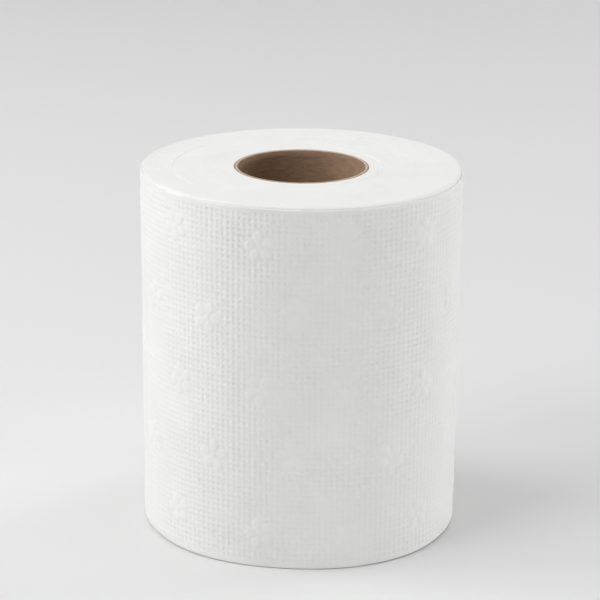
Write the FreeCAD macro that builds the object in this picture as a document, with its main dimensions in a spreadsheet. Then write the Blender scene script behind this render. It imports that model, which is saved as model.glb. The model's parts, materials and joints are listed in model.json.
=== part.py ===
"""A roll of toilet paper: a soft embossed web wound on a spiral board tube, standing on its end.

Millimetres, +Z up. The origin is the centre of the base, on the roll's axis. The front faces -Y,
and the web's loose tail lies straight behind the axis, on the +Y side.
"""
import FreeCAD, Part
import math
import os
import sys

import Sketcher

# Driving dimensions, in millimetres apart from the number of turns
SIZES = {
    # The web, whose two plies count as one thickness, and the roll's diameter at the tail
    "roll_width": 114.3,
    "roll_diameter": 98.8,
    "web_thickness": 0.32,
    # The bevel of the two outer rims, and how far inside them the outermost turn's edges lie
    "rim_bevel": 0.5,
    "outer_turn_inset": 1.2,
    # The board tube
    "core_bore": 39.5,
    "core_wall": 1.0,
    # The lines between the turns on each end, one drawn for about every eleven real ones
    "drawn_turns": 8,
    "turn_gap_width": 0.45,
    "turn_gap_depth": 0.3,
    "first_turn_land": 2.0,
    "last_turn_land": 1.0,
    # The seam of the tube's inner strip, which climbs by its lead in each turn
    "seam_lead": 91.0,
    "seam_width": 0.5,
    "seam_depth": 0.12,
}

UP = FreeCAD.Vector(0, 0, 1)

# Radii of the tube, of the whole roll, and of the turns under the outermost one
TUBE_RADIUS = "(sizes.core_bore / 2 + sizes.core_wall)"
ROLL_RADIUS = "(sizes.roll_diameter / 2)"
INNER_TURNS_RADIUS = f"({ROLL_RADIUS} - 2 * sizes.web_thickness)"

# The lines between the turns run from beside the tube to beside the bevelled rim
FIRST_GAP_RADIUS = f"({TUBE_RADIUS} + sizes.first_turn_land)"
LAST_GAP_RADIUS = f"({INNER_TURNS_RADIUS} - sizes.rim_bevel - sizes.last_turn_land)"
GAP_GROWTH = f"({LAST_GAP_RADIUS} - {FIRST_GAP_RADIUS}) / sizes.drawn_turns"


def make_sheet(doc):
    """The spreadsheet of driving dimensions, one named cell each."""
    sheet = doc.addObject("Spreadsheet::Sheet", "sizes")
    for row, (alias, value) in enumerate(SIZES.items(), start=1):
        sheet.set(f"A{row}", alias)
        sheet.set(f"B{row}", str(value))
        sheet.setAlias(f"B{row}", alias)
    doc.recompute()


def origin_part(body, role):
    """One of the body's own origin planes or axes."""
    return next(part for part in body.Origin.OriginFeatures if part.Role == role)


def add_sketch(body, name, plane):
    """An empty sketch on one of the body's origin planes."""
    sketch = body.newObject("Sketcher::SketchObject", name)
    sketch.AttachmentSupport = [(origin_part(body, plane), "")]
    sketch.MapMode = "FlatFace"
    return sketch


def bind(sketch, constraint, label, expression):
    """Adds a dimension to a sketch and keeps it at the value of an expression."""
    index = sketch.addConstraint(constraint)
    sketch.renameConstraint(index, label)
    sketch.setExpression(f"Constraints.{label}", expression)


def draw_outline(body, name, plane, corners):
    """A closed outline of straight lines, each corner held at a pair of expressions."""
    sketch = add_sketch(body, name, plane)
    places = [[float(sketch.evalExpression(text)) for text in corner] for corner in corners]
    points = [FreeCAD.Vector(*place, 0) for place in places]
    for start, end in zip(points, points[1:] + points[:1]):
        sketch.addGeometry(Part.LineSegment(start, end), False)
    for line, (corner, place) in enumerate(zip(corners, places)):
        following = (line + 1) % len(corners)
        sketch.addConstraint(Sketcher.Constraint("Coincident", line, 2, following, 1))
        for axis, text, value in zip("XY", corner, place):
            pinned = Sketcher.Constraint(f"Distance{axis}", -1, 1, line, 1, value)
            bind(sketch, pinned, f"corner_{line}_{axis.lower()}", text)
    return sketch


def add_circle(sketch, label, radius_text):
    """A circle about the roll's axis, with its radius held at an expression."""
    radius = float(sketch.evalExpression(radius_text))
    circle = sketch.addGeometry(Part.Circle(FreeCAD.Vector(), UP, radius), False)
    sketch.addConstraint(Sketcher.Constraint("Coincident", circle, 3, -1, 1))
    bind(sketch, Sketcher.Constraint("Radius", circle, radius), label, radius_text)


def draw_spiral(body, name, start_radius, growth, turns):
    """A flat spiral of tangent half circles in the base plane, starting straight behind the axis.

    Their centres take turns at two points on the Y axis, half the growth apart, so every half
    turn is half the growth wider than the one before it.
    """
    sketch = add_sketch(body, name, "XY_Plane")
    y_axis = -2
    shift = f"({growth}) / 4"
    first_radius = f"{start_radius} + {shift}"
    step = float(sketch.evalExpression(shift))
    radius = float(sketch.evalExpression(first_radius))
    for half in range(2 * turns):
        sign = 1 if half % 2 else -1
        centre = FreeCAD.Vector(0, sign * step, 0)
        bearing = -sign * math.pi / 2
        circle = Part.Circle(centre, UP, radius + 2 * step * half)
        sketch.addGeometry(Part.ArcOfCircle(circle, bearing, bearing + math.pi), False)
        sketch.addConstraint(Sketcher.Constraint("PointOnObject", half, 3, y_axis))
        centred = Sketcher.Constraint("DistanceY", -1, 1, half, 3, centre.y)
        bind(sketch, centred, f"centre_{half}_y", f"{sign} * {shift}")
        if half == 0:
            bind(sketch, Sketcher.Constraint("Radius", 0, radius), "first_radius", first_radius)
            sketch.addConstraint(Sketcher.Constraint("PointOnObject", 0, 1, y_axis))
        else:
            sketch.addConstraint(Sketcher.Constraint("Coincident", half - 1, 2, half, 1))
        sketch.addConstraint(Sketcher.Constraint("PointOnObject", half, 2, y_axis))
    return sketch


def close_turn(sketch):
    """Closes one turn of a spiral with the step from its end back to its start."""
    last_arc = sketch.GeometryCount - 1
    start = sketch.Geometry[0].StartPoint
    end = sketch.Geometry[last_arc].EndPoint
    step = sketch.addGeometry(Part.LineSegment(end, start), False)
    sketch.addConstraint(Sketcher.Constraint("Coincident", last_arc, 2, step, 1))
    sketch.addConstraint(Sketcher.Constraint("Coincident", step, 2, 0, 1))


def outer_rims(feature):
    """The names of the circular edges that are as wide as the whole shape."""
    widest = feature.Shape.BoundBox.XMax
    return [
        f"Edge{number}"
        for number, edge in enumerate(feature.Shape.Edges, start=1)
        if edge.Curve.TypeId == "Part::GeomCircle" and math.isclose(edge.Curve.Radius, widest)
    ]


def make_inner_turns(doc, body):
    """All the turns but the outermost, with the almost crisp rims that the log saw leaves."""
    turns = body.newObject("PartDesign::Revolution", "inner_turns")
    turns.Profile = draw_outline(body, "inner_turns_section", "XZ_Plane", [
        (TUBE_RADIUS, "0"),
        (INNER_TURNS_RADIUS, "0"),
        (INNER_TURNS_RADIUS, "sizes.roll_width"),
        (TUBE_RADIUS, "sizes.roll_width"),
    ])
    turns.ReferenceAxis = (origin_part(body, "Z_Axis"), [""])
    turns.Angle = 360
    doc.recompute()
    rims = body.newObject("PartDesign::Chamfer", "saw_cut_rims")
    rims.Base = (turns, outer_rims(turns))
    rims.setExpression("Size", "sizes.rim_bevel")
    doc.recompute()


def make_outer_turn(doc, body):
    """The outermost turn, which ends in the tail, one web thickness proud of where it began."""
    outline = draw_spiral(body, "outer_turn_outline", f"{ROLL_RADIUS} - sizes.web_thickness",
                          "sizes.web_thickness", 1)
    close_turn(outline)
    add_circle(outline, "inner_radius", f"{INNER_TURNS_RADIUS} - sizes.web_thickness")
    outline.setExpression("AttachmentOffset.Base.z", "sizes.outer_turn_inset")
    turn = body.newObject("PartDesign::Pad", "outer_turn")
    turn.Profile = outline
    turn.setExpression("Length", "sizes.roll_width - 2 * sizes.outer_turn_inset")
    doc.recompute()


def cut_turn_gaps(doc, body):
    """The line between one turn and the next, winding outward across each end."""
    path = draw_spiral(body, "turn_gap_path", FIRST_GAP_RADIUS, GAP_GROWTH, SIZES["drawn_turns"])
    doc.recompute()
    ends = {
        "top": ("sizes.roll_width - sizes.turn_gap_depth", "sizes.roll_width + sizes.turn_gap_depth"),
        "bottom": ("sizes.turn_gap_depth", "-sizes.turn_gap_depth"),
    }
    for end, (inside, outside) in ends.items():
        gap = body.newObject("PartDesign::SubtractivePipe", f"{end}_turn_gap")
        gap.Profile = draw_outline(body, f"{end}_gap_section", "YZ_Plane", [
            (FIRST_GAP_RADIUS, inside),
            (f"{FIRST_GAP_RADIUS} + sizes.turn_gap_width", outside),
            (f"{FIRST_GAP_RADIUS} - sizes.turn_gap_width", outside),
        ])
        gap.Spine = (path, [f"Edge{number}" for number in range(1, path.GeometryCount + 1)])
        doc.recompute()


def make_tissue_roll(doc):
    """The wound web as one soft solid, with its turns showing at both ends and its tail behind."""
    body = doc.addObject("PartDesign::Body", "tissue_roll")
    make_inner_turns(doc, body)
    make_outer_turn(doc, body)
    cut_turn_gaps(doc, body)
    return body


def make_cardboard_core(doc):
    """The board tube, wound on the slant, with its inner strip's seam climbing the bore."""
    body = doc.addObject("PartDesign::Body", "cardboard_core")
    ring = add_sketch(body, "board_ring", "XY_Plane")
    add_circle(ring, "bore_radius", "sizes.core_bore / 2")
    add_circle(ring, "tube_radius", TUBE_RADIUS)
    tube = body.newObject("PartDesign::Pad", "board_tube")
    tube.Profile = ring
    tube.setExpression("Length", "sizes.roll_width")
    doc.recompute()

    # The seam is a shallow groove that starts just below the base and runs out above the top
    seam = body.newObject("PartDesign::SubtractiveHelix", "seam")
    seam.Profile = draw_outline(body, "seam_section", "XZ_Plane", [
        ("sizes.core_bore / 2 + sizes.seam_depth", "-sizes.seam_width"),
        ("sizes.core_bore / 2 - sizes.seam_depth", "0"),
        ("sizes.core_bore / 2 - sizes.seam_depth", "-2 * sizes.seam_width"),
    ])
    seam.ReferenceAxis = (origin_part(body, "Z_Axis"), [""])
    seam.Mode = "pitch-height-angle"
    seam.setExpression("Pitch", "sizes.seam_lead")
    seam.setExpression("Height", "sizes.roll_width + 2 * sizes.seam_width")
    seam.LeftHanded = True
    doc.recompute()
    return body


def check_document(doc, bodies):
    """Stops with a plain message if any object failed or a body has no sound solid."""
    failed = [item.Name for item in doc.Objects if {"Invalid", "Error"} & set(item.State)]
    unsound = [body.Label for body in bodies if body.Shape.isNull() or not body.Shape.isValid()]
    if failed or unsound:
        sys.exit(f"failed objects: {failed}, unsound bodies: {unsound}")


def main():
    """Builds the document and writes one file for each body."""
    doc = FreeCAD.newDocument("toilet_paper_roll")
    make_sheet(doc)
    bodies = [make_tissue_roll(doc), make_cardboard_core(doc)]
    doc.recompute()
    check_document(doc, bodies)
    os.makedirs("parts", exist_ok=True)
    for body in bodies:
        body.Shape.exportStep(f"parts/{body.Label}.step")
        print(body.Label, "volume", round(body.Shape.Volume), "solids", len(body.Shape.Solids))


main()
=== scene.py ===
"""The looks of an embossed toilet paper roll that stands on its end.

Metres, +Z up, and the front faces -Y. The wound turns, the three lengths of the web round them and
the board tube are closed meshes, built inside the frame. Bearings run counter-clockwise from +X as
seen from above, and the web's tail lies straight behind the axis, at a quarter turn.
"""
import json
import math

import bpy
import numpy as np
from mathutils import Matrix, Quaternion, Vector


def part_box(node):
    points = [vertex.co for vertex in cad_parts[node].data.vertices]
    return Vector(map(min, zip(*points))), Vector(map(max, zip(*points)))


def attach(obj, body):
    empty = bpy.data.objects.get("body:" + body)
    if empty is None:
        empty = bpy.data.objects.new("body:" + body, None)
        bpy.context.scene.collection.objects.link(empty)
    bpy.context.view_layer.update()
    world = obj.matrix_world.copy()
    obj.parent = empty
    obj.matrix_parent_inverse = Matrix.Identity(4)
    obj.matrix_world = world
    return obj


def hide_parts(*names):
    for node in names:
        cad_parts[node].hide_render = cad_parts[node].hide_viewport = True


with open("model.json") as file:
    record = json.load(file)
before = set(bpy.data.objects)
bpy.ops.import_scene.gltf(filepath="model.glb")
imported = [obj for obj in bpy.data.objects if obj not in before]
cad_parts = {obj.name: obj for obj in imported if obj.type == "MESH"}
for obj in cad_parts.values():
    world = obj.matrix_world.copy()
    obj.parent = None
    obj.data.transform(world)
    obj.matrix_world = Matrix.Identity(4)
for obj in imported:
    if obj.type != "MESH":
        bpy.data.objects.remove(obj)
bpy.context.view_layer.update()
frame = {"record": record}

MM = 0.001
FULL_TURN = 2 * math.pi

# The roll and its tube, as the frame has them
tissue_low, tissue_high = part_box("tissue_roll")
core_low, core_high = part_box("cardboard_core")
HEIGHT = tissue_high.z
TAIL_RADIUS = tissue_high.y
TUBE_RADIUS = core_high.x
bore_mount = next(m for m in frame["record"]["mounts"] if m["name"] == "core_bore")
BORE_RADIUS = bore_mount["dims"]["r_mm"] * MM

# The web: its thickness as wound, that of a loose length by itself, and where its tail ends
WEB = 0.32 * MM
SHEET_THICKNESS = 0.5 * MM
SHEET_CLEARANCE = 0.04 * MM
TAIL_BEARING = math.pi / 2
TAIL_LIFT = 0.35 * MM
TAIL_LIFT_STEPS = 9
SHEET_UNEVENNESS = 0.05 * MM
EDGE_CORNER = 0.12 * MM

# Corners sharper than this stay crisp
SHARP_ANGLE = math.radians(50)

# The wound turns: how finely they are drawn, how much longer their section is for the rim's
# rounding, and how uneven their edges lie, with spacings in turns
TURN_COLUMNS = 180
RIM_EXTRA = 0.7 * MM
RIM_LIP = 0.1 * MM
TURNS_RADIUS = TAIL_RADIUS - WEB - SHEET_THICKNESS - SHEET_CLEARANCE
BORE_EDGE = 0.25 * MM
TURN_GROOVE = 0.045 * MM
TURN_UNEVENNESS = 0.035 * MM
TURN_SPACING = 0.41
PATCH_SPACING = 4.5
GROOVE_SPACING = 0.27
LOOSE_SPACING = 0.33
LOOSE_SHARE = 0.18
LOOSE_GROOVE = 1.2 * TURN_GROOVE

# How the soft roll has settled out of round: less flat at its top, and a little wider there
FLAT_BEARING = math.radians(260)
FLAT_SPREAD = math.radians(32)
BASE_FLAT_DEPTH = 2.2 * MM
TOP_FLAT_DEPTH = 1.6 * MM
BASE_NARROWING = 0.3 * MM
TOP_WIDENING = 0.42 * MM

# The embossing: dots in a square lattice, whose floor and shoulders are shares of a step, and
# small blossoms between them, each in a clearing as many times its size
DOTS_AROUND = 172
DOT_ROWS = 64
DOT_BORDER = 1.9 * MM
DOT_SHOULDER = 0.36
DOT_FLOOR = 0.15
DOT_DEPTH = 0.2 * MM
BLOSSOMS_AROUND = 11
BLOSSOM_ROWS = 5
PETALS = 5
PETAL_REACH = 2.9 * MM
PETAL_LENGTH = 1.9 * MM
PETAL_WIDTH = 1.5 * MM
BLOSSOM_MIDDLE = 0.75 * PETAL_WIDTH
BLOSSOM_HEIGHT = 0.2 * MM
BLOSSOM_STEEPNESS = 1.7
BLOSSOM_HOLLOW = 0.3
BLOSSOM_CLEARING = 1.3

# The outermost lengths, in lattice steps counted from under the tail round to its end
HIDDEN_STEPS = 3
SHEET_STEPS = 56
PERFORATIONS = [DOTS_AROUND - 2 * SHEET_STEPS, DOTS_AROUND - SHEET_STEPS]
PERFORATION_DEPTH = 0.1 * MM
PERFORATION_HALF_WIDTH = 0.05
PERFORATION_PITCH = 2.4 * MM
PERFORATION_CUT_SHARE = 0.65
TORN_STEPS = 0.1

# The board tube: its seam climbs by its lead in each turn, and its two plies show where it is cut,
# with the inner ply's share of the wall
SEAM_LEAD = 91 * MM
SEAM_WIDTH = 0.68 * MM
SEAM_DEPTH = 0.12 * MM
INNER_PLY_SHARE = 0.7
PLY_LINE = 0.05 * MM
BOARD_CORNER = 0.12 * MM
BOARD_ROUGHNESS = 0.03 * MM
CORE_COLUMNS = 240
CORE_ROWS = 64

# The camera, fitted to the outlines measured in the photograph
CAMERA_PITCH = math.radians(17.27)
CAMERA_ROLL = math.radians(0.5)
CAMERA_DISTANCE = 18.4 * TAIL_RADIUS
CAMERA_AIM = Vector((-0.12 * MM, 0, HEIGHT / 2 + 0.2827 * TAIL_RADIUS))
CAMERA_LENS = 174.86


def settled(radius, bearing, height):
    """A radius in the soft roll as it stands: a little flat in front, and narrower at its base."""
    softness = np.clip((radius - TUBE_RADIUS) / (TAIL_RADIUS - TUBE_RADIUS), 0, 1)
    share_up = height / HEIGHT
    aside = (bearing - FLAT_BEARING + math.pi) % FULL_TURN - math.pi
    depth = BASE_FLAT_DEPTH + (TOP_FLAT_DEPTH - BASE_FLAT_DEPTH) * share_up
    flat = depth * np.exp(-(aside / FLAT_SPREAD) ** 2)
    taper = BASE_NARROWING - (BASE_NARROWING + TOP_WIDENING) * share_up
    return radius - softness * (flat + taper)


class Shell:
    """The points and faces of one closed mesh, gathered a part at a time."""

    def __init__(self):
        self.points = []
        self.faces = []
        self.slots = []
        self.count = 0
        self.turned_over = False
        self.slot = 0

    def add(self, radius, bearing, height):
        """Adds points at these polar places, and returns their numbers in the same shape."""
        radius, bearing, height = np.broadcast_arrays(radius, bearing, height)
        radius = settled(radius, bearing, height)
        places = [radius * np.cos(bearing), radius * np.sin(bearing), height]
        self.points.append(np.stack([place.ravel() for place in places], axis=1))
        numbers = np.arange(radius.size).reshape(radius.shape) + self.count
        self.count += radius.size
        return numbers

    def fill(self, *corners):
        """Adds faces whose corners are given by like-shaped arrays of point numbers."""
        faces = np.stack([np.ravel(corner) for corner in corners], axis=1)
        if self.turned_over:
            faces = faces[:, ::-1]
        self.faces += faces.tolist()
        self.slots += [self.slot] * len(faces)

    def band(self, ring, outer_ring):
        """Fills between two closed rings, the second of them further along the section."""
        self.fill(ring, outer_ring, np.roll(outer_ring, -1), np.roll(ring, -1))

    def stitch(self, short_line, long_line, joints):
        """Fills between a line of few points and a longer one beside it, with fans that meet at joints."""
        ends = [0, *joints, len(long_line) - 1]
        for point, start, end in zip(short_line, ends, ends[1:]):
            self.fill(np.full(end - start, point), long_line[start:end], long_line[start + 1:end + 1])
        self.fill(short_line[:-1], long_line[joints], short_line[1:])

    def finish(self, name, materials):
        """Makes the object, smooth apart from its sharper corners."""
        mesh = bpy.data.meshes.new(name)
        mesh.from_pydata(np.concatenate(self.points).tolist(), [], self.faces)
        for material in materials:
            mesh.materials.append(material)
        mesh.polygons.foreach_set("material_index", self.slots)
        mesh.shade_smooth()
        mesh.set_sharp_from_angle(angle=SHARP_ANGLE)
        piece = bpy.data.objects.new(name, mesh)
        bpy.context.scene.collection.objects.link(piece)
        return piece


def wander(place, spacing, seed):
    """A smooth random line from 0 to 1, with a new height at each step of the spacing."""
    steps = place / spacing
    before = np.floor(steps).astype(int)
    heights = np.random.default_rng(seed).random(before.max() + 2)
    share = steps - before
    share = share * share * (3 - 2 * share)
    return heights[before] * (1 - share) + heights[before + 1] * share


def ripple(bearing, height, seed, waves, shortest, longest):
    """A random surface of about -1 to 1 round the roll, summed from waves of these lengths."""
    random = np.random.default_rng(seed)
    total = np.zeros(np.broadcast(bearing, height).shape)
    for _ in range(waves):
        length = random.uniform(shortest, longest)
        lean = random.uniform(0, math.pi)
        around = round(FULL_TURN * TAIL_RADIUS / length * math.cos(lean))
        upward = FULL_TURN / length * math.sin(lean)
        total += np.sin(around * bearing + upward * height + random.uniform(0, FULL_TURN))
    return total / math.sqrt(2 * waves)


def turn_share(bearing):
    """How far round the outermost turn a bearing lies, from 0 under the tail to 1 at its end."""
    return ((bearing - TAIL_BEARING) % FULL_TURN) / FULL_TURN


def edge_inset(share, top):
    """How far the outermost length's edge lies inside the roll's end, at a share of the last turn."""
    if top:
        degrees = [0, 30, 60, 110, 118, 130, 150, 180, 205, 230, 270, 295, 330, 360]
        inset = [0.7, 0.6, 0.35, 0.35, 0.45, 0.8, 0.9, 0.9, 1.0, 1.3, 1.0, 0.4, 0.6, 0.7]
    else:
        degrees = [0, 100, 150, 200, 250, 360]
        inset = [0.3, 0.2, 0.12, 0.12, 0.2, 0.3]
    return np.interp(share * 360, degrees, inset) * MM


def rim(share, top):
    """The width and the depth of the rounding at the edge of the roll's end."""
    if top:
        width = np.interp(share * 360, [0, 60, 110, 180, 205, 230, 270, 300, 360],
                          [1.0, 0.7, 0.9, 1.4, 1.6, 2.0, 1.5, 0.8, 1.0])
        return width * MM, edge_inset(share, True) - RIM_LIP
    width = np.interp(share * 360, [0, 80, 117, 140, 160, 200, 225, 245, 290, 360],
                      [0.8, 1.4, 2.4, 1.2, 0.35, 0.35, 0.9, 1.8, 1.2, 0.8])
    return width * MM, 1.8 * width * MM


def base_tuck(share, height):
    """How far in the roll's side has come at a height near its base."""
    width, reach = rim(share, False)
    low = np.clip(1 - height / reach, 0, 1)
    return width * (1 - np.sqrt(1 - low ** 2))


def add_end(shell, top):
    """One end of the wound turns: two lines of points for each turn, on one long spiral."""
    shell.turned_over = not top
    first_radius = TUBE_RADIUS + BORE_EDGE
    length = TURNS_RADIUS - first_radius + RIM_EXTRA
    line_count = int(2 * (length / WEB - 1.5))

    column = np.arange(TURN_COLUMNS)
    bearing = TAIL_BEARING + FULL_TURN * column / TURN_COLUMNS
    share = turn_share(bearing)
    line = np.arange(line_count)[:, None]
    turn = line / 2 + column / TURN_COLUMNS

    # The turns' edges aren't level: each has its own height, and some stand a little apart
    seed = 11 if top else 12
    recess = TURN_UNEVENNESS * wander(turn, TURN_SPACING, seed)
    recess += TURN_UNEVENNESS * wander(turn, PATCH_SPACING, seed + 20)
    groove = TURN_GROOVE * (0.5 + wander(turn, GROOVE_SPACING, seed + 40))
    loose = wander(turn, LOOSE_SPACING, seed + 60) - (1 - LOOSE_SHARE)
    groove += LOOSE_GROOVE * np.clip(loose, 0, 1) / LOOSE_SHARE
    recess += np.where(line % 2 == 1, groove, 0)

    # The rim begins where the flat end stops, and comes out to the last turn's own radius
    last_radius = TURNS_RADIUS + WEB * share
    rim_width, rim_depth = rim(share, top)
    flat_length = last_radius - rim_width - first_radius
    distance = (0.5 + turn) * WEB
    along = np.clip((distance - flat_length) / (length - flat_length), 0, 1)
    out = rim_width * (np.sin(along * math.pi / 2) - 1)
    radius = np.where(along > 0, last_radius + out, first_radius + distance)
    depth = rim_depth * (1 - np.cos(along * math.pi / 2)) + recess * (1 - along)

    def level(below):
        return HEIGHT - below if top else below

    lines = shell.add(radius, bearing, level(depth))
    following = np.concatenate([lines[:-2, 1:], lines[2:, :1]], axis=1)
    shell.fill(lines[:-3], lines[1:-2], following[1:], following[:-1])
    shell.fill(lines[-3:-1, :-1], lines[-2:, :-1], lines[-2:, 1:], lines[-3:-1, 1:])

    # A closed ring inside the first turn and outside the last, joined over the step at the seam
    inner = shell.add(first_radius, bearing, level(0 * bearing))
    outer = shell.add(last_radius, bearing, level(rim_depth + RIM_LIP))
    shell.fill(inner[:-1], lines[0, :-1], lines[0, 1:], inner[1:])
    shell.fill(inner[-1:], lines[0, -1:], lines[0, :1], inner[:1])
    shell.fill(lines[0, -1:], lines[2, :1], lines[1, :1], lines[0, :1])
    shell.fill(lines[-1, :-1], outer[:-1], outer[1:], lines[-1, 1:])
    shell.fill(lines[-1, -1:], outer[-1:], outer[:1], lines[-1, :1])
    shell.fill(lines[-3, -1:], lines[-2, -1:], lines[-1, -1:], lines[-1, :1])

    # The soft corner beside the tube
    corner = 0.3 * BORE_EDGE
    eased = shell.add(TUBE_RADIUS + corner, bearing, level(corner + 0 * bearing))
    bore = shell.add(TUBE_RADIUS, bearing, level(BORE_EDGE + 0 * bearing))
    shell.band(bore, eased)
    shell.band(eased, inner)
    shell.turned_over = False
    return bore, outer


def make_turns(paper):
    """All the turns under the outermost one, with both ends of the roll."""
    shell = Shell()
    top_bore, top_outer = add_end(shell, True)
    base_bore, base_outer = add_end(shell, False)
    shell.band(base_bore, top_bore)
    shell.band(top_outer, base_outer)
    return shell.finish("wound_turns", [paper])


def blossom_places():
    """The middle of each embossed blossom, as a distance round the web and a height, and its lean."""
    random = np.random.default_rng(5)
    round_roll = FULL_TURN * TAIL_RADIUS
    places = []
    for row in range(BLOSSOM_ROWS):
        for column in range(BLOSSOMS_AROUND):
            across = (column + 0.5 * (row % 2) + random.uniform(-0.08, 0.08)) / BLOSSOMS_AROUND
            up = (row + 0.5 + random.uniform(-0.1, 0.1)) / BLOSSOM_ROWS
            places.append((across * round_roll, up * HEIGHT, random.uniform(0, FULL_TURN)))
    return places


def blossom_relief(across, up):
    """The blossoms' height over the web, and how much of the dots is left beside them."""
    height = np.zeros(across.shape)
    dots_left = np.ones(across.shape)
    reach = PETAL_REACH + 2 * PETAL_LENGTH
    for middle_across, middle_up, lean in blossom_places():
        near = (abs(across - middle_across) < reach) & (abs(up - middle_up) < reach)
        x = across[near] - middle_across
        y = up[near] - middle_up
        closest = np.hypot(x, y) / BLOSSOM_MIDDLE
        for petal in range(PETALS):
            turned = lean + FULL_TURN * petal / PETALS
            along = x * math.cos(turned) + y * math.sin(turned) - PETAL_REACH
            beside = y * math.cos(turned) - x * math.sin(turned)
            closest = np.minimum(closest, np.hypot(along / PETAL_LENGTH, beside / PETAL_WIDTH))
        swell = np.clip(BLOSSOM_STEEPNESS * (1 - closest ** 2), -BLOSSOM_HOLLOW, 1)
        height[near] = BLOSSOM_HEIGHT * swell * np.clip(2 - closest, 0, 1)
        dots_left[near] = np.clip((closest - 1) / (BLOSSOM_CLEARING - 1), 0, 1)
    return height, dots_left


def lattice(first, last, marks):
    """The lines of a lattice: two shoulders and two floor lines for each dot, and lines at marks."""
    start = np.arange(first, last)[:, None]
    dots = start + 0.5 + np.array([-DOT_SHOULDER, -DOT_FLOOR, DOT_FLOOR, DOT_SHOULDER])
    lines = np.concatenate([dots.ravel(), marks])
    return np.unique(lines[(lines >= first) & (lines <= last)])


def tail_lift(step, height):
    """How far the web stands off the roll at its loose end."""
    near_tail = np.clip(1 - (DOTS_AROUND - step) / TAIL_LIFT_STEPS, 0, 1)
    return TAIL_LIFT * near_tail ** 2 * (0.5 + wander(height, 17 * MM, 14))


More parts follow.
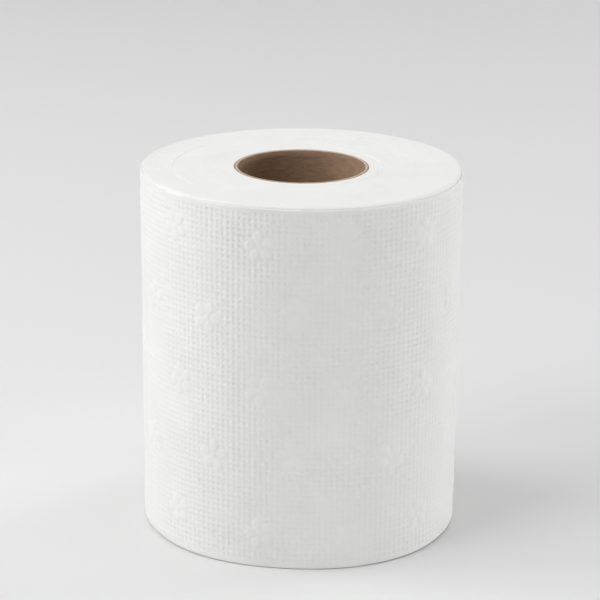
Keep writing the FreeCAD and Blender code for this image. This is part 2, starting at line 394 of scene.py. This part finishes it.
def make_length(name, first, last, paper):
    """A length of the outermost turn between two lattice steps, as a thin closed sheet."""
    shell = Shell()
    nicks = [step + side for step in PERFORATIONS
             for side in (-PERFORATION_HALF_WIDTH, 0, PERFORATION_HALF_WIDTH)]
    step = lattice(first, last, nicks + [first, last])[:, None]
    share = step / DOTS_AROUND
    pitch = (HEIGHT - 2 * DOT_BORDER) / DOT_ROWS
    dot_height = DOT_BORDER + pitch * lattice(0, DOT_ROWS, [])

    # The rows: the dots' own, and a plain border at each edge
    low_edge = edge_inset(share, False) + EDGE_CORNER
    high_edge = HEIGHT - edge_inset(share, True) - EDGE_CORNER
    shares = np.array([0, 0.2, 0.45, 0.72])
    low_border = low_edge + shares * (dot_height[0] - low_edge)
    high_border = high_edge - shares[::-1] * (high_edge - dot_height[-1])
    height = np.concatenate([low_border, np.tile(dot_height, (len(step), 1)), high_border], axis=1)

    # The relief: dots pressed in, blossoms, perforations and the web's own unevenness
    across = share * FULL_TURN * TAIL_RADIUS + 0 * height
    bearing = TAIL_BEARING + FULL_TURN * share
    blossoms, dots_left = blossom_relief(across, height)
    dot_row = np.zeros(height.shape[1], bool)
    dot_row[len(shares) + 1:-len(shares):4] = True
    dot_row[len(shares) + 2:-len(shares):4] = True
    pressed = (abs(step % 1 - 0.5) < (DOT_FLOOR + DOT_SHOULDER) / 2) & dot_row
    strength = np.clip(1 + 0.2 * ripple(bearing, height, 6, 20, 12 * MM, 40 * MM), 0.6, 1.25)
    relief = blossoms - DOT_DEPTH * pressed * dots_left * strength
    cut = height % PERFORATION_PITCH < PERFORATION_CUT_SHARE * PERFORATION_PITCH
    relief -= PERFORATION_DEPTH * (np.isin(step, PERFORATIONS) & cut)
    held = np.clip(np.minimum(height - low_edge, high_edge - height) / (6 * MM), 0, 1)
    relief += SHEET_UNEVENNESS * held * ripple(bearing, height, 3, 24, 14 * MM, 45 * MM)

    # The tail's end stands off a little, and is torn along its perforation
    torn = TORN_STEPS * (wander(height, 0.9 * MM, 8) - 0.5) * (step >= DOTS_AROUND)
    bearing = bearing + FULL_TURN * torn / DOTS_AROUND

    def face_radius(level):
        wound = TAIL_RADIUS - WEB + WEB * share
        return wound + tail_lift(step, level) - base_tuck(share, level)

    outer = shell.add(face_radius(height) + relief, bearing, height)
    middle = face_radius(np.hstack([high_edge, low_edge])) - SHEET_THICKNESS / 2
    crown = shell.add(middle[:, :1], bearing[:, -1:], high_edge + EDGE_CORNER)
    foot = shell.add(middle[:, 1:], bearing[:, :1], low_edge - EDGE_CORNER)

    # The inner face is plain, with a few lines that follow the roll's rounding
    reach = rim(share, False)[1]
    near_base = low_edge + (reach - low_edge) * np.array([1, 0.5, 0.2])
    inner_height = np.hstack([high_edge, near_base, low_edge])
    inside = face_radius(inner_height) - SHEET_THICKNESS
    inner = np.zeros(inside.shape, int)
    inner[:, [0, -1]] = shell.add(inside[:, [0, -1]], bearing[:, [-1, 0]], inner_height[:, [0, -1]])
    inner[1:-1, 1:-1] = shell.add(inside[1:-1, 1:-1], bearing[1:-1, :1], inner_height[1:-1, 1:-1])

    # Round the section from the outer face over the top edge, down the inner face and back
    corners = [outer[:-1, :-1], outer[1:, :-1], outer[1:, 1:], outer[:-1, 1:]]
    leaning = (pressed[:-1, :-1] | pressed[1:, 1:]) & ~(pressed[1:, :-1] | pressed[:-1, 1:])
    shell.fill(*[corner[~leaning] for corner in corners])
    shell.fill(*[corner[leaning] for corner in corners[1:] + corners[:1]])
    for strip in ([outer[:, -1:], crown, inner[:, :1]], [inner[:, -1:], foot, outer[:, :1]]):
        strip = np.hstack(strip)
        shell.fill(strip[:-1, :-1], strip[1:, :-1], strip[1:, 1:], strip[:-1, 1:])
    shell.fill(inner[1:-2, :-1], inner[2:-1, :-1], inner[2:-1, 1:], inner[1:-2, 1:])

    # Both ends of the length are closed by a row of faces through the sheet
    for column, beside in ((0, 1), (-1, -2)):
        shell.turned_over = column == 0
        behind = face_radius(height)[column] - SHEET_THICKNESS
        back = shell.add(behind[1:-1], bearing[column][1:-1], height[column][1:-1])
        back = np.concatenate([inner[column, -1:], back, inner[column, :1]])
        face = outer[column]
        shell.fill(face[:-1], back[:-1], back[1:], face[1:])
        shell.fill(face[-1:], back[-1:], crown[column])
        shell.fill(face[:1], foot[column], back[:1])
        shell.turned_over = column != 0
        line_height = inner_height[beside, ::-1]
        joints = np.searchsorted(height[column], (line_height[1:] + line_height[:-1]) / 2)
        shell.stitch(inner[beside, ::-1], back, joints)
    shell.turned_over = False
    return shell.finish(name, [paper])


def make_core(board, board_edge):
    """The board tube, with the inner strip's seam climbing its bore and two plies at its cut ends."""
    shell = Shell()
    half_seam = SEAM_WIDTH / 2 / BORE_RADIUS
    plain = np.linspace(2 * half_seam, FULL_TURN - 2 * half_seam, CORE_COLUMNS - 2)
    offset = np.concatenate([[0, half_seam], plain, [FULL_TURN - half_seam]])
    seam = np.zeros(offset.size)
    seam[0] = SEAM_DEPTH

    def bearing(height):
        return offset - FULL_TURN * (height + 0.5 * MM) / SEAM_LEAD

    edge = BOARD_CORNER
    heights = np.linspace(edge, HEIGHT - edge, CORE_ROWS)
    uneven = BOARD_ROUGHNESS * ripple(offset, 0, 21, 16, 6 * MM, 30 * MM)
    rows = [shell.add(BORE_RADIUS + seam + uneven, bearing(z), z) for z in heights]
    for low, high in zip(rows, rows[1:]):
        shell.band(low, high)

    # The cut ends: soft corners, and a fine line between the inner and the outer ply
    wall = TUBE_RADIUS - BORE_RADIUS
    inner_ply = INNER_PLY_SHARE * wall
    line = PLY_LINE

    # Each place is a distance out from the bore, one below the end, and the slot of the face inside it
    profile = [
        (0.3 * edge, 0.3 * edge, 1),
        (edge, 0, 1),
        (inner_ply - line, 0, 1),
        (inner_ply, 2 * line, 0),
        (inner_ply + line, 0, 0),
        (wall - edge, 0, 0),
        (wall - 0.3 * edge, 0.5 * edge, 0),
        (wall, 2 * edge, 0),
    ]
    ends = []
    for top, start in ((True, rows[-1]), (False, rows[0])):
        shell.turned_over = not top
        face_bearing = bearing(HEIGHT if top else 0)
        ring = start
        for number, (inward, below, slot) in enumerate(profile):
            rough = BOARD_ROUGHNESS * ripple(face_bearing, 0, 30 + number, 40, 1.5 * MM, 9 * MM)
            depth = below + (abs(rough) if number < len(profile) - 1 else 0)
            height = HEIGHT - depth if top else depth
            closing = seam * (1 - inward / wall) * (number < 2)
            following = shell.add(BORE_RADIUS + inward + closing, face_bearing, height)
            shell.slot = slot
            shell.band(ring, following)
            ring = following
        ends.append(ring)
    shell.turned_over = False
    shell.slot = 0

    # The outer wall turns with the bore, so that no face crosses the tube
    outside = [shell.add(TUBE_RADIUS, bearing(z), z) for z in heights[-2:0:-1]]
    for upper, lower in zip([ends[0], *outside], [*outside, ends[1]]):
        shell.band(upper, lower)
    return shell.finish("core_tube", [board, board_edge])


def add_node(tree, kind, sockets=None, **settings):
    """Adds a shader node with these settings. A socket is given a value or another node's output."""
    node = tree.nodes.new(kind)
    for name, value in settings.items():
        setattr(node, name, value)
    for name, value in (sockets or {}).items():
        if isinstance(value, bpy.types.NodeSocket):
            tree.links.new(value, node.inputs[name])
        else:
            node.inputs[name].default_value = value
    return node


def new_material(name):
    """An empty node material, with its shader joined to its output."""
    material = bpy.data.materials.new(name)
    material.use_nodes = True
    tree = material.node_tree
    tree.nodes.clear()
    shader = add_node(tree, "ShaderNodeBsdfPrincipled")
    output = add_node(tree, "ShaderNodeOutputMaterial")
    tree.links.new(shader.outputs[0], output.inputs["Surface"])
    return material, tree, shader


def round_places(tree, around, upward):
    """Coordinates that run round the roll and up it, each stretched by its own factor."""
    place = add_node(tree, "ShaderNodeTexCoord").outputs["Object"]
    parts = add_node(tree, "ShaderNodeSeparateXYZ", {0: place}).outputs
    front = add_node(tree, "ShaderNodeMath", {0: parts["Y"], 1: -1.0}, operation="MULTIPLY")
    angle = add_node(tree, "ShaderNodeMath", {0: parts["X"], 1: front.outputs[0]},
                     operation="ARCTAN2")
    arc = add_node(tree, "ShaderNodeMath", {0: angle.outputs[0], 1: around}, operation="MULTIPLY")
    rise = add_node(tree, "ShaderNodeMath", {0: parts["Z"], 1: upward}, operation="MULTIPLY")
    return add_node(tree, "ShaderNodeCombineXYZ",
                    {"X": arc.outputs[0], "Y": rise.outputs[0]}).outputs[0]


def noise(tree, place, scale, detail, roughness=0.5):
    """A noise texture's height at these coordinates."""
    sockets = {"Vector": place, "Scale": scale, "Detail": detail, "Roughness": roughness}
    return add_node(tree, "ShaderNodeTexNoise", sockets).outputs["Fac"]


def between(tree, share, low, high, from_low=0.3, from_high=0.7):
    """A ramp from one colour to another as the share rises."""
    ramp = add_node(tree, "ShaderNodeValToRGB", {"Fac": share})
    ends = ramp.color_ramp.elements
    ends[0].position, ends[0].color = from_low, (*low, 1)
    ends[1].position, ends[1].color = from_high, (*high, 1)
    return ramp.outputs["Color"]


def make_paper():
    """Soft white tissue: faint clouds in its colour, and a fine fibrous, creped surface."""
    material, tree, shader = new_material("tissue_paper")
    place = add_node(tree, "ShaderNodeTexCoord").outputs["Object"]
    clouds = noise(tree, place, 70.0, 5.0, 0.6)
    tree.links.new(between(tree, clouds, (0.862, 0.862, 0.848), (0.9, 0.9, 0.895)),
                   shader.inputs["Base Color"])
    crepe_place = round_places(tree, TAIL_RADIUS, 0.3)
    crepe = noise(tree, crepe_place, 1900.0, 3.0, 0.6)
    fibres = noise(tree, place, 1400.0, 6.0, 0.7)
    rough = add_node(tree, "ShaderNodeMapRange", {"Value": fibres, "To Min": 0.86, "To Max": 1.0})
    tree.links.new(rough.outputs[0], shader.inputs["Roughness"])
    both = add_node(tree, "ShaderNodeMath", {0: crepe, 1: fibres}, operation="ADD")
    bump = add_node(tree, "ShaderNodeBump",
                    {"Height": both.outputs[0], "Strength": 0.35, "Distance": 0.06 * MM})
    tree.links.new(bump.outputs[0], shader.inputs["Normal"])
    shader.inputs["Specular IOR Level"].default_value = 0.2
    shader.inputs["Sheen Weight"].default_value = 0.12
    shader.inputs["Sheen Roughness"].default_value = 0.6
    return material


def make_board():
    """Brown board with fibres lying round the tube, and small dark flecks."""
    material, tree, shader = new_material("kraft_board")
    place = add_node(tree, "ShaderNodeTexCoord").outputs["Object"]
    streak_place = round_places(tree, BORE_RADIUS, 5.0)
    streaks = noise(tree, streak_place, 260.0, 6.0, 0.65)
    brown = between(tree, streaks, (0.33, 0.212, 0.13), (0.5, 0.345, 0.232))
    flecks = noise(tree, place, 1500.0, 3.0, 0.6)
    fleck_share = add_node(tree, "ShaderNodeMapRange",
                           {"Value": flecks, "From Min": 0.6, "From Max": 0.75, "To Max": 0.5})
    mixed = add_node(tree, "ShaderNodeMix", {"Factor": fleck_share.outputs[0]}, data_type="RGBA")
    tree.links.new(brown, mixed.inputs["A"])
    mixed.inputs["B"].default_value = (0.17, 0.1, 0.058, 1)
    tree.links.new(mixed.outputs["Result"], shader.inputs["Base Color"])
    rough = add_node(tree, "ShaderNodeMapRange", {"Value": streaks, "To Min": 0.7, "To Max": 0.95})
    tree.links.new(rough.outputs[0], shader.inputs["Roughness"])
    both = add_node(tree, "ShaderNodeMath", {0: streaks, 1: flecks}, operation="ADD")
    bump = add_node(tree, "ShaderNodeBump",
                    {"Height": both.outputs[0], "Strength": 0.5, "Distance": 0.08 * MM})
    tree.links.new(bump.outputs[0], shader.inputs["Normal"])
    shader.inputs["Specular IOR Level"].default_value = 0.3
    return material


def make_board_edge():
    """The board where it is cut: paler, with short fibres standing on end."""
    material, tree, shader = new_material("cut_board")
    place = add_node(tree, "ShaderNodeTexCoord").outputs["Object"]
    grain = noise(tree, place, 1800.0, 4.0, 0.65)
    tree.links.new(between(tree, grain, (0.47, 0.38, 0.29), (0.68, 0.6, 0.49)),
                   shader.inputs["Base Color"])
    rough = add_node(tree, "ShaderNodeMapRange", {"Value": grain, "To Min": 0.8, "To Max": 1.0})
    tree.links.new(rough.outputs[0], shader.inputs["Roughness"])
    bump = add_node(tree, "ShaderNodeBump",
                    {"Height": grain, "Strength": 0.5, "Distance": 0.06 * MM})
    tree.links.new(bump.outputs[0], shader.inputs["Normal"])
    shader.inputs["Specular IOR Level"].default_value = 0.2
    return material


def make_floor():
    """A plain pale studio floor."""
    material, tree, shader = new_material("studio_floor")
    shader.inputs["Base Color"].default_value = (0.8, 0.8, 0.8, 1)
    shader.inputs["Roughness"].default_value = 0.9
    shader.inputs["Specular IOR Level"].default_value = 0.1
    reach = 6.0
    mesh = bpy.data.meshes.new("floor")
    corners = [(-reach, -reach, 0), (reach, -reach, 0), (reach, reach, 0), (-reach, reach, 0)]
    mesh.from_pydata(corners, [], [(0, 1, 2, 3)])
    mesh.materials.append(material)
    floor = bpy.data.objects.new("floor", mesh)
    bpy.context.scene.collection.objects.link(floor)


def add_light(name, place, aim, size, power):
    """A square soft light that faces a point."""
    light = bpy.data.lights.new(name, "AREA")
    light.shape = "SQUARE"
    light.size = size
    light.energy = power
    holder = bpy.data.objects.new(name, light)
    holder.location = place
    holder.rotation_euler = (Vector(aim) - Vector(place)).to_track_quat("-Z", "Y").to_euler()
    bpy.context.scene.collection.objects.link(holder)


def light_scene():
    """Even studio light: soft from the left and above, with weaker lights to the right and low down."""
    world = bpy.data.worlds.new("studio")
    bpy.context.scene.world = world
    world.use_nodes = True
    background = world.node_tree.nodes["Background"]
    background.inputs["Color"].default_value = (1, 1, 1, 1)
    background.inputs["Strength"].default_value = 0.12
    middle = (0, 0, HEIGHT / 2)
    add_light("key", (-1.3, -0.9, 1.3), middle, 1.0, 11.5)
    add_light("side", (-1.6, 0.2, 1.0), middle, 1.0, 14.0)
    add_light("overhead", (0, 0, 2.2), middle, 1.6, 22.0)
    add_light("back_fill", (1.5, 0.9, 0.6), middle, 1.0, 9.5)
    add_light("right_fill", (1.7, -0.4, 0.13), middle, 0.24, 7.5)
    add_light("front_fill", (-0.2, -2.0, 0.13), middle, 0.24, 3.5)
    bpy.context.scene.view_settings.view_transform = "Standard"


def make_camera():
    """A long lens a little above the rim, as the photograph was taken."""
    away = Vector((0, -math.cos(CAMERA_PITCH), math.sin(CAMERA_PITCH)))
    camera = bpy.data.objects.new("camera", bpy.data.cameras.new("camera"))
    camera.data.lens = CAMERA_LENS
    camera.location = CAMERA_AIM + CAMERA_DISTANCE * away
    upright = (-away).to_track_quat("-Z", "Y")
    camera.rotation_euler = (upright @ Quaternion((0, 0, 1), CAMERA_ROLL)).to_euler()
    bpy.context.scene.collection.objects.link(camera)
    bpy.context.scene.camera = camera


def main():
    """Builds every piece, seats it in the frame, and sets up the stage."""
    paper = make_paper()
    tissue = [
        make_turns(paper),
        make_length("third_sheet", -HIDDEN_STEPS, PERFORATIONS[0], paper),
        make_length("second_sheet", *PERFORATIONS, paper),
        make_length("tail_sheet", PERFORATIONS[1], DOTS_AROUND, paper),
    ]
    for piece in tissue:
        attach(piece, "root")
        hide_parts("tissue_roll")
    core = make_core(make_board(), make_board_edge())
    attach(core, "root")
    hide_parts("cardboard_core")
    make_floor()
    light_scene()
    make_camera()


main()
